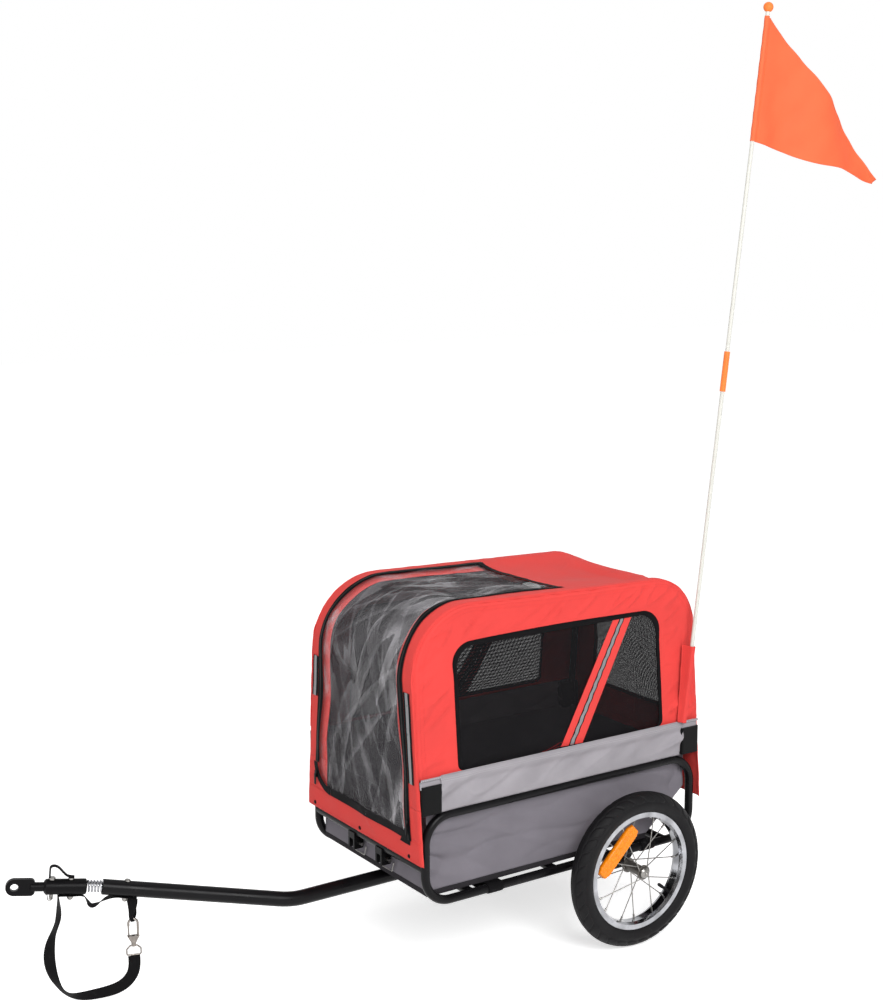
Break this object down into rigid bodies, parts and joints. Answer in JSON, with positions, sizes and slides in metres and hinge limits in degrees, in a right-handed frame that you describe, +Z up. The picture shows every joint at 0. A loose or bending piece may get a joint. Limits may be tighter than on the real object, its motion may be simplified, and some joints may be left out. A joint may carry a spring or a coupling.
{
  "type": "dog bike trailer",
  "caption": "Two-wheeled dog bike trailer with a folding tube frame, red cloth cabin with mesh and film windows, sprung tow arm with safety strap, and a flag on a pole.",
  "frame": {"origin": "on the ground under the middle of the axle", "axes": "+X points rearwards, +Y to the right of the trailer, +Z up"},
  "size_m": [1.9792, 0.6432, 2.0511],
  "materials": {
    "black_tube": "satin black powder coat",
    "grey_tube": "plain",
    "black_plastic": "moulded",
    "bright_steel": "zinc plated",
    "chrome": "polished",
    "hub_grey": "dark grey",
    "tyre": "moulded tread",
    "amber": "ribbed",
    "red_cloth": "coated woven nylon",
    "black_net": "open mesh",
    "clear_film": "clear soft film",
    "grey_cloth": "coated woven nylon",
    "black_webbing": "woven webbing",
    "floor_board": "covered board",
    "white_pole": "glass-fibre rod",
    "orange": "bright orange"
  },
  "bodies": {
    "chassis": {"left_side_loop": "black_tube", "right_side_loop": "black_tube", "cross_tubes": "black_tube", "axle_beam": "black_tube", "stub_axles": "bright_steel", "hub_bearings": "bright_steel", "hinge_blocks": "black_plastic", "hinge_bolts": "bright_steel", "floor_panel": "floor_board", "floor_webbing": "black_webbing", "tray_walls": "grey_cloth", "canopy_skirts": "grey_cloth", "front_cover": "red_cloth", "roof_panel": "red_cloth", "rear_window_net": "black_net", "rain_window": "clear_film", "tow_arm": "black_tube", "arm_clamps": "black_plastic", "arm_bolt": "bright_steel", "front_receivers": "black_plastic", "lock_pins": "bright_steel", "hitch_spring": "chrome", "strap_run": "black_webbing", "safety_strap": "black_webbing", "strap_ring": "chrome"},
    "left_wheel": {"left_tyre": "tyre", "left_rim": "chrome", "left_spokes": "bright_steel", "left_hub": "hub_grey", "left_reflector": "amber"},
    "right_wheel": {"right_tyre": "tyre", "right_rim": "chrome", "right_spokes": "bright_steel", "right_hub": "hub_grey", "right_reflector": "amber"},
    "left_button": {"left_release_button": "bright_steel"},
    "right_button": {"right_release_button": "bright_steel"},
    "left_side": {"left_hoop": "grey_tube", "left_side_panel": "red_cloth", "left_window_net": "black_net", "flag_pocket": "red_cloth"},
    "right_side": {"right_hoop": "grey_tube", "right_side_panel": "red_cloth", "right_window_net": "black_net"},
    "left_bail": {"left_pin_bail": "bright_steel"},
    "right_bail": {"right_pin_bail": "bright_steel"},
    "coupler": {"coupler_sleeve": "black_plastic", "coupler_eye": "bright_steel", "hitch_pin": "bright_steel", "pin_lanyard": "black_webbing", "sleeve_bolt": "bright_steel"},
    "clip": {"retaining_clip": "bright_steel"},
    "hook": {"snap_hook": "chrome"},
    "gate": {"hook_gate": "chrome"},
    "left_slider": {"left_zip_slider": "black_plastic"},
    "right_slider": {"right_zip_slider": "black_plastic"},
    "flag": {"flag_pole_halves": "white_pole", "pole_ferrule": "orange", "pole_ball": "orange", "flag_cloth": "orange"}
  },
  "joints": [
    {"name": "left_wheel_spin", "type": "hinge", "parent": "chassis", "child": "left_wheel", "pos_m": [0, -0.282, 0.175], "axis": [0, 1, 0], "continuous": true},
    {"name": "right_wheel_spin", "type": "hinge", "parent": "chassis", "child": "right_wheel", "pos_m": [0, 0.282, 0.175], "axis": [0, 1, 0], "continuous": true},
    {"name": "left_release_press", "type": "slide", "parent": "chassis", "child": "left_button", "axis": [0, 1, 0], "range_m": [0, 0.0025], "stiffness_N_per_m": 1200},
    {"name": "right_release_press", "type": "slide", "parent": "chassis", "child": "right_button", "axis": [0, -1, 0], "range_m": [0, 0.0025], "stiffness_N_per_m": 1200},
    {"name": "left_side_fold", "type": "hinge", "parent": "chassis", "child": "left_side", "pos_m": [0, -0.222, 0.413], "axis": [-1, 0, 0], "range_deg": [0, 52], "deforming": ["front_cover", "roof_panel", "rear_window_net", "rain_window"]},
    {"name": "right_side_fold", "type": "hinge", "parent": "chassis", "child": "right_side", "pos_m": [0, 0.222, 0.413], "axis": [1, 0, 0], "range_deg": [0, 85], "deforming": ["front_cover", "roof_panel", "rear_window_net", "rain_window"]},
    {"name": "left_bail_swing", "type": "hinge", "parent": "chassis", "child": "left_bail", "pos_m": [-0.513, -0.0357, 0.2455], "axis": [1, 0, 0], "range_deg": [0, 110]},
    {"name": "right_bail_swing", "type": "hinge", "parent": "chassis", "child": "right_bail", "pos_m": [-0.513, 0.0783, 0.2455], "axis": [1, 0, 0], "range_deg": [0, 110]},
    {"name": "hitch_flex", "type": "hinge", "parent": "chassis", "child": "coupler", "pos_m": [-1.08329, 0.1376, 0.24932], "axis": [0.1421, -0.0465, 0.9888], "range_deg": [-40, 40], "stiffness_Nm_per_rad": 4, "deforming": ["hitch_spring", "strap_run", "safety_strap"]},
    {"name": "retaining_clip_pull", "type": "slide", "parent": "coupler", "child": "clip", "axis": [-0.3107, -0.9505, 0], "range_m": [0, 0.024], "deforming": ["safety_strap"]},
    {"name": "hook_swivel", "type": "hinge", "parent": "chassis", "child": "hook", "pos_m": [-1.0137, 0.11486, 0.11908], "axis": [0, 0, 1], "range_deg": [-30, 30], "deforming": ["strap_run"]},
    {"name": "hook_gate_open", "type": "hinge", "parent": "hook", "child": "gate", "pos_m": [-1.02273, 0.11781, 0.13518], "axis": [0.3107, 0.9505, 0], "range_deg": [0, 30], "stiffness_Nm_per_rad": 0.2, "springref_deg": -11.46},
    {"name": "left_zip_run", "type": "slide", "parent": "chassis", "child": "left_slider", "axis": [0, 0.0872, 0.9962], "range_m": [0, 0.25]},
    {"name": "right_zip_run", "type": "slide", "parent": "chassis", "child": "right_slider", "axis": [0, -0.0872, 0.9962], "range_m": [0, 0.25]},
    {"name": "flag_pole_lift", "type": "slide", "parent": "left_side", "child": "flag", "axis": [0.1288, 0, 0.9917], "range_m": [0, 0.16]}
  ]
}
